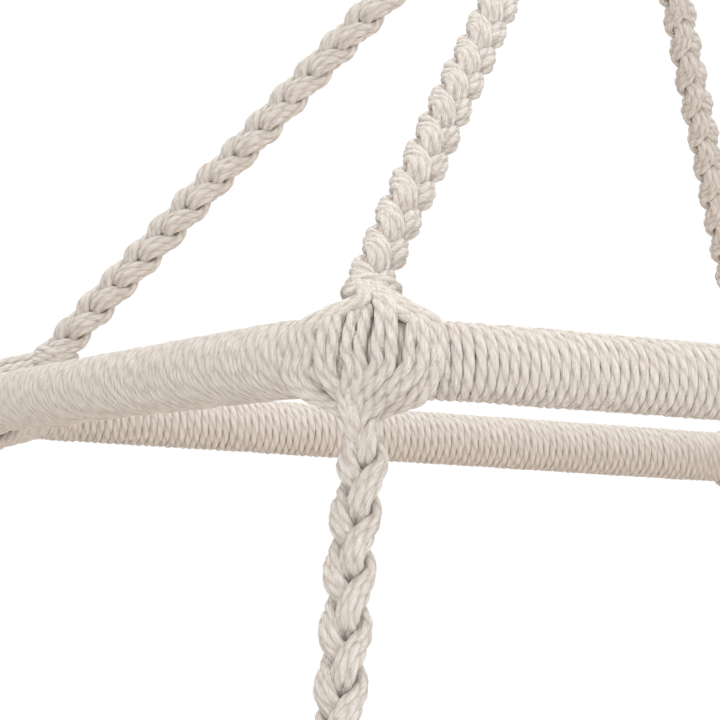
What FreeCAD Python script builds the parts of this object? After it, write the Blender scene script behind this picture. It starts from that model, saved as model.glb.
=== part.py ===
"""Two-tier hanging macrame planter, in millimetres, +Z up.

The origin is the point where the ring's inner top rests on its hook.  A gathered bundle of cords
hangs from the ring, four tight plaits spread from it to the corners of a cane frame wrapped in
rope, and four flat braids go on down to a wider wrapped frame that carries the pot board.
X runs along the frames' front side, and the front is towards -Y.
"""
import FreeCAD
import Part
import math
import os

Vector = FreeCAD.Vector
UP = Vector(0, 0, 1)
ALONG_X = Vector(1, 0, 0)
ALONG_Y = Vector(0, 1, 0)

# Cord and braids
CORD_D = 4.0                # three-ply cotton cord, used for everything
UPPER_BRAID_D = 15.5        # tight plait of three strands above the upper frame
LOWER_BRAID_D = 16.5        # plait of three strands below it, across its wide way

# Hanging ring and the bundle under it
RING_INNER_D = 56.0
RING_WIRE_D = 8.0
LOOP_CLEARANCE = 0.8        # all round the ring's wire, so that the loops can swing
LOOP_LAYERS = 2             # layers of cord over the ring
LOOP_HALF_WIDTH = 10.0      # five cords side by side
BUNDLE_D = 36.0             # the gathered cords inside the gathering wrap
GATHER_HEIGHT = 36.0        # nine turns of cord
GATHER_DROP = 24.0          # from the ring's lower wire to the top of the gathering wrap

# Frames: centre line sizes of the cane, which is bent with rounded corners
CANE_D = 20.0
UPPER_FRAME_SIDE = 480.0
LOWER_FRAME_SIDE = 530.0
BEND_RADIUS = 56.0
APEX_RISE = 323.0           # the upper braids' centre lines meet this far above the frame
APEX_IN_WRAP = 16.0         # and this far above the gathering wrap's lower end
TIER_DROP = 400.0           # from the upper frame down to the lower one

# Corner knots
KNOT_HALF_LENGTH = 19.0     # along the bar, to each side of the corner
KNOT_WAIST_R = 21.5         # at the corner itself
KNOT_END_R = 17.0           # where it meets the rope wrapping
COLLAR_D = 22.5             # the cords tied round the braid above the knot
COLLAR_REACH = 35.0         # from the corner's centre up along the braid
FOOT_SLIP = 7.5             # the upper braids leave this far to one side of the corner's centre
FOOT_OUT = 4.5              # and this far outward of it
NECK_D = 18.0               # the cords drawn together under the knot
NECK_REACH = 27.0           # from the corner's centre down
SWAY_GAP = 1.0              # between a knot and the ball end of what swings from it

# Pot board
BOARD_SIDE = 524.0
BOARD_THICKNESS = 12.0
BOARD_EDGE_R = 3.0
BOARD_SEAT_GAP = 0.2
BOARD_KNOT_GAP = 8.0        # from the clipped corners to the knots

# Tassels
TASSEL_NECK_D = 13.0
TASSEL_TIE_D = 20.0
TASSEL_TIE_HEIGHT = 14.0
TASSEL_TIE_DROP = 12.0      # from the tassel's pivot to the top of its tie
TASSEL_SKIRT_D = 26.0
TASSEL_LENGTH = 120.0       # from its pivot to the cut ends

# Heights that follow
ROPE_D = CANE_D + 2 * CORD_D
RING_R = (RING_INNER_D + RING_WIRE_D) / 2
RING_CENTRE_Z = -RING_INNER_D / 2
SWING_Z = RING_CENTRE_Z - RING_R
GATHER_TOP_Z = SWING_Z - GATHER_DROP
GATHER_LOW_Z = GATHER_TOP_Z - GATHER_HEIGHT
APEX_Z = GATHER_LOW_Z + APEX_IN_WRAP
UPPER_Z = APEX_Z - APEX_RISE
LOWER_Z = UPPER_Z - TIER_DROP
CORNERS = {
    "front_left": (-1, -1),
    "front_right": (1, -1),
    "back_right": (1, 1),
    "back_left": (-1, 1),
}
SIDE_TURNS = {"front": 0, "right": 90, "back": 180, "left": 270}


def corner_point(name, side, height):
    """Return the middle of a frame's rounded corner, on the cane's centre line."""
    reach = side / 2 - BEND_RADIUS * (1 - math.sqrt(0.5))
    across, along = CORNERS[name]
    return Vector(across * reach, along * reach, height)


def upper_foot(name):
    """Return the point inside an upper knot that its braid's centre line starts from."""
    across, along = CORNERS[name]
    centre = corner_point(name, UPPER_FRAME_SIDE, UPPER_Z)
    outward = Vector(across, along, 0).normalize()
    return centre + outward * FOOT_OUT - UP.cross(outward) * FOOT_SLIP


def direction(start, end):
    """Return the unit vector from one point to another."""
    line = end - start
    return line.normalize()


def rod(start, end, diameter):
    """Return a straight round bar between two points."""
    line = end - start
    return Part.makeCylinder(diameter / 2, line.Length, start, line)


def ball(centre, diameter):
    """Return a ball."""
    return Part.makeSphere(diameter / 2, centre)


def bent_bar(edges, radius):
    """Sweep a round section along tangent lines and arcs."""
    path = Part.Wire(edges)
    first = path.Edges[0]
    start = first.valueAt(first.FirstParameter)
    tangent = first.tangentAt(first.FirstParameter)
    section = Part.Wire([Part.makeCircle(radius, start, tangent)])
    return path.makePipeShell([section], True, True)


def bend_point(side, angle, height):
    """Return a point of the front right bend; the angle is measured from its middle."""
    centre = side / 2 - BEND_RADIUS
    turn = math.radians(-45 + angle)
    across = centre + BEND_RADIUS * math.cos(turn)
    along = -centre + BEND_RADIUS * math.sin(turn)
    return Vector(across, along, height)


def front_run(side, height, end_angle):
    """Return the front side's edges, from one bend's end angle to the other's."""
    middle = (-45 - end_angle) / 2
    right = [bend_point(side, angle, height) for angle in (-45, middle, -end_angle)]
    left = [Vector(-point.x, point.y, point.z) for point in reversed(right)]
    return [
        Part.Arc(*left).toShape(),
        Part.LineSegment(left[-1], right[0]).toShape(),
        Part.Arc(*right).toShape(),
    ]


def turned(shape, degrees):
    """Return a copy turned about the planter's upright axis."""
    copy = shape.copy()
    copy.rotate(Vector(0, 0, 0), UP, degrees)
    return copy


def cane(side, height):
    """Return the closed rounded square of cane."""
    quarter = bent_bar(front_run(side, height, 0), CANE_D / 2)
    whole = quarter
    for degrees in (90, 180, 270):
        whole = whole.fuse(turned(quarter, degrees))
    return whole.removeSplitter()


def rope_wraps(side, height):
    """Return the rope wrapping of each side, which stops at the corner knots."""
    end_angle = math.degrees(KNOT_HALF_LENGTH / BEND_RADIUS)
    edges = front_run(side, height, end_angle)
    sleeve = bent_bar(edges, ROPE_D / 2).cut(bent_bar(edges, CANE_D / 2))
    return {name: turned(sleeve, degrees) for name, degrees in SIDE_TURNS.items()}


def knot_barrel(centre, across, along):
    """Return the knot's barrel, which lies along the bar at the corner."""
    tangent = Vector(-along, across, 0).normalize()
    start = centre - tangent * KNOT_HALF_LENGTH
    end_low = Vector(0, KNOT_END_R, 0)
    waist = Vector(KNOT_HALF_LENGTH, KNOT_WAIST_R, 0)
    end_high = Vector(2 * KNOT_HALF_LENGTH, KNOT_END_R, 0)
    outline = Part.Wire([
        Part.LineSegment(Vector(0, 0, 0), end_low).toShape(),
        Part.Arc(end_low, waist, end_high).toShape(),
        Part.LineSegment(end_high, Vector(2 * KNOT_HALF_LENGTH, 0, 0)).toShape(),
        Part.LineSegment(Vector(2 * KNOT_HALF_LENGTH, 0, 0), Vector(0, 0, 0)).toShape(),
    ])
    barrel = Part.Face(outline).revolve(Vector(0, 0, 0), ALONG_X, 360)
    barrel.Placement = FreeCAD.Placement(start, FreeCAD.Rotation(ALONG_X, tangent))
    return barrel


def corner_knots(side, height, feet, tops, bottoms, inner):
    """Return each corner's knot, with its collar from foot to top and its neck below."""
    knots = {}
    for name, (across, along) in CORNERS.items():
        centre = corner_point(name, side, height)
        foot = feet[name]
        collar = rod(foot, foot + direction(foot, tops[name]) * COLLAR_REACH, COLLAR_D)
        neck = rod(centre, centre + direction(centre, bottoms[name]) * NECK_REACH, NECK_D)
        knot = knot_barrel(centre, across, along).fuse([collar, neck]).removeSplitter()
        for piece in inner:
            knot = knot.cut(piece)
        knots[name] = knot
    return knots


def hanging_ring():
    """Return the steel ring, standing in the XZ plane."""
    return Part.makeTorus(RING_R, RING_WIRE_D / 2, Vector(0, 0, RING_CENTRE_Z), ALONG_Y)


def cord_loops():
    """Return the cords that pass over the ring and gather into one bundle below it."""
    bore_r = RING_WIRE_D / 2 + LOOP_CLEARANCE
    outer_r = bore_r + LOOP_LAYERS * CORD_D
    centre = Vector(0, 0, RING_CENTRE_Z)
    saddle = Part.makeTorus(RING_R, outer_r, centre, ALONG_Y)
    slab = Part.makeBox(2 * LOOP_HALF_WIDTH, 2 * outer_r, 2 * outer_r,
                        Vector(-LOOP_HALF_WIDTH, -outer_r, SWING_Z - outer_r))
    shoulder_top = Part.Wire(Part.makePolygon([
        Vector(-LOOP_HALF_WIDTH, -outer_r, SWING_Z),
        Vector(LOOP_HALF_WIDTH, -outer_r, SWING_Z),
        Vector(LOOP_HALF_WIDTH, outer_r, SWING_Z),
        Vector(-LOOP_HALF_WIDTH, outer_r, SWING_Z),
        Vector(-LOOP_HALF_WIDTH, -outer_r, SWING_Z),
    ]).Edges)
    inside = BUNDLE_D / 2 * math.sqrt(0.5)
    shoulder_low = Part.Wire(Part.makePolygon([
        Vector(-inside, -inside, GATHER_TOP_Z),
        Vector(inside, -inside, GATHER_TOP_Z),
        Vector(inside, inside, GATHER_TOP_Z),
        Vector(-inside, inside, GATHER_TOP_Z),
        Vector(-inside, -inside, GATHER_TOP_Z),
    ]).Edges)
    shoulder = Part.makeLoft([shoulder_top, shoulder_low], True, True)
    bundle = rod(Vector(0, 0, GATHER_LOW_Z), Vector(0, 0, GATHER_TOP_Z), BUNDLE_D)
    bore = Part.makeTorus(RING_R, bore_r, centre, ALONG_Y)
    return saddle.common(slab).fuse([shoulder, bundle]).cut(bore).removeSplitter()


def gathering_wrap():
    """Return the sleeve of cord turns that binds the bundle."""
    low = Vector(0, 0, GATHER_LOW_Z)
    top = Vector(0, 0, GATHER_TOP_Z)
    return rod(low, top, BUNDLE_D + 2 * CORD_D).cut(rod(low, top, BUNDLE_D))


def upper_braid(name):
    """Return one braid, from its knot's collar up to the gathering wrap's lower end."""
    foot = upper_foot(name)
    apex = Vector(0, 0, APEX_Z)
    start = foot + direction(foot, apex) * COLLAR_REACH
    above = Part.makeBox(4 * BUNDLE_D, 4 * BUNDLE_D, GATHER_HEIGHT + APEX_RISE,
                         Vector(-2 * BUNDLE_D, -2 * BUNDLE_D, GATHER_LOW_Z))
    return rod(start, apex + (apex - start) * 0.05, UPPER_BRAID_D).cut(above)


def lower_braid_ends(name):
    """Return the two swing centres of a lower braid: under the upper knot, over the lower one."""
    upper = corner_point(name, UPPER_FRAME_SIDE, UPPER_Z)
    lower = corner_point(name, LOWER_FRAME_SIDE, LOWER_Z)
    lean = direction(upper, lower)
    ball_gap = LOWER_BRAID_D / 2 + SWAY_GAP
    return upper + lean * (NECK_REACH + ball_gap), lower - lean * (COLLAR_REACH + ball_gap)


def lower_braid(name):
    """Return one braid with ball ends, free to sway between two knots."""
    top, low = lower_braid_ends(name)
    return rod(top, low, LOWER_BRAID_D).fuse([ball(top, LOWER_BRAID_D), ball(low, LOWER_BRAID_D)])


def pot_board():
    """Return the board that rests on the lower frame, with its corners clipped round the knots."""
    half = BOARD_SIDE / 2
    base_z = LOWER_Z + ROPE_D / 2 + BOARD_SEAT_GAP
    knot = corner_point("front_right", LOWER_FRAME_SIDE, LOWER_Z)
    clip_line = knot.x * 2 - (COLLAR_D / 2 + BOARD_KNOT_GAP + ROPE_D / 2) * math.sqrt(2)
    clip = clip_line - half
    outline = [(half, -clip), (half, clip), (clip, half), (-clip, half),
               (-half, clip), (-half, -clip), (-clip, -half), (clip, -half)]
    points = [Vector(x, y, base_z) for x, y in outline]
    face = Part.Face(Part.makePolygon(points + points[:1]))
    board = face.extrude(UP * BOARD_THICKNESS)
    return board.makeFillet(BOARD_EDGE_R, board.Edges)


def tassel_pivot(name):
    """Return the point that a tassel swings about, just under its knot."""
    centre = corner_point(name, LOWER_FRAME_SIDE, LOWER_Z)
    return centre - UP * (NECK_REACH + TASSEL_NECK_D / 2 + SWAY_GAP)


def tassel(name):
    """Return the cord ends of one corner, narrow in their tie and spreading below it."""
    pivot = tassel_pivot(name)
    tie_top = pivot - UP * TASSEL_TIE_DROP
    tie_low = tie_top - UP * TASSEL_TIE_HEIGHT
    tip = pivot - UP * TASSEL_LENGTH
    neck = rod(pivot, tie_low, TASSEL_NECK_D).fuse(ball(pivot, TASSEL_NECK_D))
    skirt = Part.makeCone(TASSEL_NECK_D / 2, TASSEL_SKIRT_D / 2, tie_low.z - tip.z, tie_low, -UP)
    return neck.fuse(skirt).removeSplitter()


def tassel_tie(name):
    """Return the turns of cord round a tassel's neck."""
    top = tassel_pivot(name) - UP * TASSEL_TIE_DROP
    low = top - UP * TASSEL_TIE_HEIGHT
    return rod(top, low, TASSEL_TIE_D).cut(rod(top, low, TASSEL_NECK_D))


def build():
    """Return every piece of the planter by its name."""
    pieces = {
        "hanging_ring": hanging_ring(),
        "cord_loops": cord_loops(),
        "gathering_wrap": gathering_wrap(),
        "upper_frame_cane": cane(UPPER_FRAME_SIDE, UPPER_Z),
        "lower_frame_cane": cane(LOWER_FRAME_SIDE, LOWER_Z),
        "pot_board": pot_board(),
    }
    upper_wraps = rope_wraps(UPPER_FRAME_SIDE, UPPER_Z)
    lower_wraps = rope_wraps(LOWER_FRAME_SIDE, LOWER_Z)
    for side in SIDE_TURNS:
        pieces["upper_frame_wrap_" + side] = upper_wraps[side]
        pieces["lower_frame_wrap_" + side] = lower_wraps[side]
    apex = {name: Vector(0, 0, APEX_Z) for name in CORNERS}
    feet = {name: upper_foot(name) for name in CORNERS}
    upper = {name: corner_point(name, UPPER_FRAME_SIDE, UPPER_Z) for name in CORNERS}
    lower = {name: corner_point(name, LOWER_FRAME_SIDE, LOWER_Z) for name in CORNERS}
    floor = {name: point - UP * TIER_DROP for name, point in lower.items()}
    upper_inner = [pieces["upper_frame_cane"], *upper_wraps.values()]
    lower_inner = [pieces["lower_frame_cane"], *lower_wraps.values()]
    upper_knots = corner_knots(UPPER_FRAME_SIDE, UPPER_Z, feet, apex, lower, upper_inner)
    lower_knots = corner_knots(LOWER_FRAME_SIDE, LOWER_Z, lower, upper, floor, lower_inner)
    for name in CORNERS:
        pieces["upper_braid_" + name] = upper_braid(name)
        pieces["upper_knot_" + name] = upper_knots[name]
        pieces["lower_braid_" + name] = lower_braid(name)
        pieces["lower_knot_" + name] = lower_knots[name]
        pieces["tassel_" + name] = tassel(name)
        pieces["tassel_tie_" + name] = tassel_tie(name)
    return pieces


def report_joints():
    """Print the swing centres and the sway ratio that the joints use."""
    print("swing axis z", SWING_Z)
    for name in CORNERS:
        top, low = lower_braid_ends(name)
        print(name, "sway top", top, "low", low, "tassel", tassel_pivot(name))
    top, low = lower_braid_ends("front_right")
    print("tier_level ratio", -(1 - (low.x - top.x) / low.x))
    print("levels upper", UPPER_Z, "lower", LOWER_Z,
          "board top", LOWER_Z + ROPE_D / 2 + BOARD_SEAT_GAP + BOARD_THICKNESS)


def main():
    """Write one STEP file for each piece."""
    os.makedirs("parts", exist_ok=True)
    for name, shape in build().items():
        print(name, "solids", len(shape.Solids), "valid", shape.isValid(), round(shape.Volume))
        shape.exportStep("parts/" + name + ".step")
    report_joints()


if __name__ == "__main__":
    main()
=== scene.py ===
"""Looks of the two-tier hanging macrame planter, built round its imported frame.

Every rope is modelled cord by cord: the turns wrapped round the cane frames, the crossed cords of
the corner knots, the plaits above and below them, the loops over the ring and the tassels.
"""
import logging
import math
from dataclasses import dataclass
from enum import Enum
from typing import Any, Sequence

import bpy
import numpy as np
from mathutils import Matrix, Vector


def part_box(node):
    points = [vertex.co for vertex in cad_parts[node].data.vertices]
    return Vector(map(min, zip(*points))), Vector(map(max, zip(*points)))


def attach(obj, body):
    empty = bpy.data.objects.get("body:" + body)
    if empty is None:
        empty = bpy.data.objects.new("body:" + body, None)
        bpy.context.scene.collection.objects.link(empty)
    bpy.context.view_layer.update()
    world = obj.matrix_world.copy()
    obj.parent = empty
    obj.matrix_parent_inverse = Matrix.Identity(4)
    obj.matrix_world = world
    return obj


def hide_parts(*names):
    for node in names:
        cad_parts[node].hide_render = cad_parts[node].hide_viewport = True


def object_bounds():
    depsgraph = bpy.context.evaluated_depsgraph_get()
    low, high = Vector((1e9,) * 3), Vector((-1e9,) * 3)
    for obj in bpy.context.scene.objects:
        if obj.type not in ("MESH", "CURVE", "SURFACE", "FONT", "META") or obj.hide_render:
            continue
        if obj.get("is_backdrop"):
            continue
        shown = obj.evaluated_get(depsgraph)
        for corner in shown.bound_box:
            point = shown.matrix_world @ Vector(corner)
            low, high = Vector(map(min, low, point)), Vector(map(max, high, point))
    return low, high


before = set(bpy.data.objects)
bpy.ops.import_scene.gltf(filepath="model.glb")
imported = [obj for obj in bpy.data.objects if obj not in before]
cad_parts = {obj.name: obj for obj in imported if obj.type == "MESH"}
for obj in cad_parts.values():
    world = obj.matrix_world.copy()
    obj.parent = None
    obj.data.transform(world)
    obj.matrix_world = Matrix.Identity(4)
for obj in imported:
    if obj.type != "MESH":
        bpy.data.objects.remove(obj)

LOG = logging.getLogger("planter")
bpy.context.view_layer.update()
MM = 0.001
UP = np.array([0.0, 0.0, 1.0])
FULL_TURN = 2 * math.pi
APEX_RISE = 323 * MM
Points = np.ndarray
Material = bpy.types.Material


# Shader maths.


class Shade:
    """A shader socket that can be used in Python expressions."""

    def __init__(self, graph: "ShaderGraph", socket: bpy.types.NodeSocket) -> None:
        """Wrap one output socket of a graph."""
        self.graph = graph
        self.socket = socket

    def _math(self, operation: str, *values: "Shade | float") -> "Shade":
        """Return a Math node of the given operation on numbers and sockets."""
        return self.graph.node("ShaderNodeMath", {"operation": operation}, dict(enumerate(values)))

    def __add__(self, other: "Shade | float") -> "Shade":
        """Return self + other."""
        return self._math("ADD", self, other)

    def __radd__(self, other: float) -> "Shade":
        """Return other + self."""
        return self._math("ADD", other, self)

    def __sub__(self, other: "Shade | float") -> "Shade":
        """Return self - other."""
        return self._math("SUBTRACT", self, other)

    def __mul__(self, other: "Shade | float") -> "Shade":
        """Return self * other."""
        return self._math("MULTIPLY", self, other)

    def __rmul__(self, other: float) -> "Shade":
        """Return other * self."""
        return self._math("MULTIPLY", other, self)

    def power(self, exponent: float) -> "Shade":
        """Return self to a power."""
        return self._math("POWER", self, exponent)

    def clamped(self) -> "Shade":
        """Return self held between 0 and 1."""
        return self.graph.node("ShaderNodeClamp", {}, {"Value": self})


class ShaderGraph:
    """The node tree of one material, with its Principled shader."""

    MIX_FIRST, MIX_SECOND, MIX_RESULT = 6, 7, 2

    def __init__(self, name: str) -> None:
        """Start an empty node tree for a new material."""
        self.material = bpy.data.materials.new(name)
        self.material.use_nodes = True
        self.tree = self.material.node_tree
        self.shader = self.tree.nodes["Principled BSDF"]

    def node(self, kind: str, settings: dict[str, Any], inputs: dict[Any, Any],
             output: int | str = 0) -> Shade:
        """Add a node and return one of its outputs.

        Args:
            kind: the node's type.
            settings: its properties, set first; "stops" fills a colour ramp.
            inputs: values or Shades by the socket's name or number.
            output: the output's name or number.

        Returns:
            The wanted output, wrapped.
        """
        made = self.tree.nodes.new(kind)
        for key, value in settings.items():
            if key == "stops":
                self._fill_ramp(made.color_ramp, value)
            else:
                setattr(made, key, value)
        for key, value in inputs.items():
            if isinstance(value, Shade):
                self.tree.links.new(value.socket, made.inputs[key])
            else:
                made.inputs[key].default_value = value
        return Shade(self, made.outputs[output])

    @staticmethod
    def _fill_ramp(ramp: bpy.types.ColorRamp, stops: Sequence[tuple]) -> None:
        """Give a colour ramp its stops, as pairs of a place and a colour."""
        while len(ramp.elements) < len(stops):
            ramp.elements.new(0.5)
        for element, (place, colour) in zip(ramp.elements, stops):
            element.position = place
            element.color = colour

    def mix(self, factor: Shade | float, first: Any, second: Any) -> Shade:
        """Return the mix of two colours."""
        inputs = {"Factor": factor, self.MIX_FIRST: first, self.MIX_SECOND: second}
        return self.node("ShaderNodeMix", {"data_type": "RGBA"}, inputs, self.MIX_RESULT)

    def noise(self, vector: Shade, scale: float, detail: float = 3.0,
              roughness: float = 0.55) -> Shade:
        """Return a noise value between 0 and 1."""
        inputs = {"Vector": vector, "Scale": scale, "Detail": detail, "Roughness": roughness}
        return self.node("ShaderNodeTexNoise", {}, inputs)

    def scaled(self, vector: Shade, factors: tuple[float, float, float]) -> Shade:
        """Return a vector multiplied by three factors."""
        inputs = {0: vector, 1: factors}
        return self.node("ShaderNodeVectorMath", {"operation": "MULTIPLY"}, inputs)

    def attribute(self, name: str) -> Shade:
        """Return a number stored on the mesh."""
        return self.node("ShaderNodeAttribute", {"attribute_name": name}, {}, "Fac")

    def place(self) -> Shade:
        """Return the object's own coordinates, in metres."""
        return self.node("ShaderNodeTexCoord", {}, {}, "Object")

    def drive(self, socket: str, value: Shade) -> None:
        """Feed one socket of the Principled shader."""
        self.tree.links.new(value.socket, self.shader.inputs[socket])

    def bump(self, height: Shade, strength: float, distance: float) -> None:
        """Feed the shader's normal from a height."""
        inputs = {"Height": height, "Strength": strength, "Distance": distance}
        self.drive("Normal", self.node("ShaderNodeBump", {}, inputs))

    def constant(self, **values: float | tuple) -> None:
        """Set plain values on the shader; an underscore in a name stands for a space."""
        for key, value in values.items():
            self.shader.inputs[key.replace("_", " ")].default_value = value


# Finishes.


@dataclass(frozen=True)
class CottonFinish:
    """Natural cotton cord: soft streaks of yarn, lint, and painted shade, darker and warmer, in the
    grooves.
    """

    name: str = "natural_cotton"
    light: tuple = (0.875, 0.817, 0.768, 1.0)
    warm: tuple = (0.72, 0.638, 0.574, 1.0)
    # Painted shade: the colour that the grooves between plies are darkened towards.
    shadow: tuple = (0.55, 0.445, 0.365, 1.0)
    streak_length: float = 7.5 * MM
    streak_width: float = 0.75 * MM
    bump: float = 0.85
    bump_height: float = 3.0 * MM

    def material(self) -> Material:
        """Return the material."""
        graph = ShaderGraph(self.name)
        uv = graph.node("ShaderNodeUVMap", {"uv_map": CordMesh.UV_NAME}, {})
        coarse = (1 / self.streak_length, 1 / self.streak_width, 1.0)
        fine = (2.2 / self.streak_length, 2.6 / self.streak_width, 1.0)
        yarns = graph.noise(graph.scaled(uv, coarse), 1.0, 3.0, 0.62)
        threads = graph.noise(graph.scaled(uv, fine), 1.0, 2.0)
        lint = graph.noise(graph.place(), 700.0, 4.0, 0.7)
        cloud = graph.noise(graph.place(), 26.0, 3.0)
        # Mask of the painted shade: how deep in a groove each point lies.
        groove = graph.attribute(CordMesh.GROOVE).power(1.4)
        tint = graph.attribute(CordMesh.TINT)
        streak = (yarns - 0.5) * 2.6 + (threads - 0.5) * 2.4
        base = graph.mix((cloud * 0.35 + tint * 0.24 + streak - 0.06).clamped(),
                         self.light, self.warm)
        # Painted shade: grooves between plies, and where yarns lie together, are mixed towards the
        # shadow colour.
        shaded = graph.mix((groove * 0.6 * (0.35 + yarns * 1.2)).clamped(), base, self.shadow)
        graph.drive("Base Color", shaded)
        graph.drive("Roughness", (0.80 + 0.16 * lint).clamped())
        graph.bump(yarns * 0.9 + threads * 0.6 + lint * 0.3, self.bump, self.bump_height)
        graph.constant(Sheen_Weight=0.25, Sheen_Roughness=0.6, Sheen_Tint=(1.0, 0.96, 0.92, 1.0),
                       Specular_IOR_Level=0.15)
        return graph.material


@dataclass(frozen=True)
class WoodFinish:
    """Oiled pale board with long grain, rings and pores along one side."""

    name: str = "oiled_board"
    pale: tuple = (0.66, 0.47, 0.29, 1.0)
    ring: tuple = (0.43, 0.26, 0.135, 1.0)
    stretch: tuple = (1.1, 7.0, 7.0)

    def material(self) -> Material:
        """Return the material."""
        graph = ShaderGraph(self.name)
        place = graph.scaled(graph.place(), self.stretch)
        wander = graph.noise(place, 1.3, 3.0)
        rings = graph.node("ShaderNodeTexWave", {"wave_type": "BANDS", "bands_direction": "Y"},
                           {"Vector": place, "Scale": 1.4, "Distortion": 6.0, "Detail": 3.0,
                            "Detail Scale": 0.8}, 1)
        fibres = graph.noise(graph.scaled(graph.place(), (5.0, 190.0, 190.0)), 1.0, 4.0, 0.6)
        pores = graph.noise(graph.scaled(graph.place(), (60.0, 1800.0, 1800.0)), 1.0, 3.0)
        grain = (rings * 0.16 + wander * 0.5 + fibres * 0.6 + pores * 0.2 - 0.38).clamped()
        graph.drive("Base Color", graph.mix(grain, self.pale, self.ring))
        graph.drive("Roughness", (0.40 + 0.22 * pores).clamped())
        graph.bump(pores * 0.6 + fibres * 0.4, 0.25, 0.0005)
        graph.constant(Specular_IOR_Level=0.4)
        return graph.material


@dataclass(frozen=True)
class CaneFinish:
    """Raw rattan cane, with fine fibres and darker nodes."""

    name: str = "raw_cane"
    pale: tuple = (0.70, 0.53, 0.32, 1.0)
    dark: tuple = (0.40, 0.25, 0.12, 1.0)

    def material(self) -> Material:
        """Return the material."""
        graph = ShaderGraph(self.name)
        fibre = graph.noise(graph.scaled(graph.place(), (120.0, 120.0, 900.0)), 1.0, 3.0)
        blotch = graph.noise(graph.place(), 14.0, 2.0)
        graph.drive("Base Color", graph.mix((fibre * 0.6 + blotch * 0.4).clamped(),
                                            self.pale, self.dark))
        graph.drive("Roughness", (0.45 + 0.2 * fibre).clamped())
        graph.bump(fibre, 0.3, 0.0004)
        return graph.material


@dataclass(frozen=True)
class SteelFinish:
    """Satin steel wire, drawn round the ring and rubbed brighter in places."""

    name: str = "satin_steel"
    bright: tuple = (0.66, 0.65, 0.63, 1.0)
    dull: tuple = (0.42, 0.41, 0.40, 1.0)

    def material(self) -> Material:
        """Return the material."""
        graph = ShaderGraph(self.name)
        scratch = graph.noise(graph.scaled(graph.place(), (2500.0, 300.0, 2500.0)), 1.0, 2.0)
        rub = graph.noise(graph.place(), 60.0, 3.0)
        graph.drive("Base Color", graph.mix((rub * 0.8 + scratch * 0.3 - 0.1).clamped(),
                                            self.bright, self.dull))
        graph.drive("Roughness", (0.22 + 0.2 * scratch + 0.1 * rub).clamped())
        graph.bump(scratch, 0.08, 0.0002)
        graph.constant(Metallic=1.0)
        return graph.material


# Cords.


def unit(vector: Points) -> Points:
    """Return a vector at length one."""
    return vector / np.linalg.norm(vector)


def spoke(angle: float) -> Points:
    """Return the level direction at an angle from +X."""
    return np.array([math.cos(angle), math.sin(angle), 0.0])


def smooth_path(points: Sequence[Points], parts: int = 12) -> Points:
    """Return a dense smooth curve through chosen points (a Catmull-Rom spline).

    Args:
        points: the points that the curve passes through.
        parts: how many pieces each stretch is cut into.

    Returns:
        The curve's points.
    """
    p = np.asarray(points, float)
    p = np.vstack([2 * p[0] - p[1], p, 2 * p[-1] - p[-2]])
    t = np.linspace(0, 1, parts, endpoint=False)[:, None]
    spans = []
    for a, b, c, d in zip(p[:-3], p[1:-2], p[2:-1], p[3:]):
        spans.append(0.5 * (2 * b + (c - a) * t + (2 * a - 5 * b + 4 * c - d) * t ** 2
                            + (3 * b - a - 3 * c + d) * t ** 3))
    return np.vstack(spans + [p[-2:-1]])


def even_path(points: Points, step: float) -> tuple[Points, Points]:
    """Return a path at even steps.

    Args:
        points: the path, as dense points.
        step: the wanted distance between points.

    Returns:
        The new points and the length up to each.
    """
    gaps = np.linalg.norm(np.diff(points, axis=0), axis=1)
    reach = np.concatenate([[0.0], np.cumsum(gaps)])
    count = max(2, int(round(reach[-1] / step)) + 1)
    at = np.linspace(0.0, reach[-1], count)
    return np.stack([np.interp(at, reach, points[:, k]) for k in range(3)], 1), at


def carried_frames(path: Points) -> tuple[Points, Points, Points]:
    """Return directions that turn with a path without twisting round it.

    Args:
        path: the path's points.

    Returns:
        The tangents and two side directions at right angles to them.
    """
    tangent = np.gradient(path, axis=0)
    tangent /= np.linalg.norm(tangent, axis=1)[:, None]
    side = np.zeros_like(path)
    first = np.cross(tangent[0], UP)
    if np.linalg.norm(first) < 0.1:
        first = np.cross(tangent[0], np.array([1.0, 0.0, 0.0]))
    current = unit(first)
    for i, direction in enumerate(tangent):
        current = current - direction * float(current @ direction)
        current = current / math.sqrt(float(current @ current))
        side[i] = current
    return tangent, side, np.cross(tangent, side)


@dataclass(frozen=True)
class Cord:
    """A cord twisted in an S lay, in metres."""

    diameter: float = 4.0 * MM
    lay_length: float = 22.0 * MM
    plies: int = 3
    groove_depth: float = 0.20
    flank: float = 0.22
    step: float = 1.9 * MM
    drift: float = 0.55
    drift_length: float = 30.0 * MM
    lump: float = 0.022
    lump_length: float = 4.5 * MM

    def groove(self) -> Points:
        """Return how deep in a groove each corner of the section is, from 0 to 1."""
        return np.tile(np.array([1.0, self.flank, 0.0, self.flank]), self.plies)

    def section(self) -> Points:
        """Return the radius round one section, with a groove between plies."""
        return (1.0 - self.groove_depth * self.groove()) * self.diameter / 2


@dataclass(frozen=True)
class Yarn(Cord):
    """A plain thin yarn with no plies of its own."""

    diameter: float = 1.3 * MM
    groove_depth: float = 0.0
    step: float = 5.0 * MM
    sides: int = 6

    def groove(self) -> Points:
        """Return a light painted groove shade all round, where yarns lie together."""
        return np.full(self.sides, 0.15)


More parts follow.
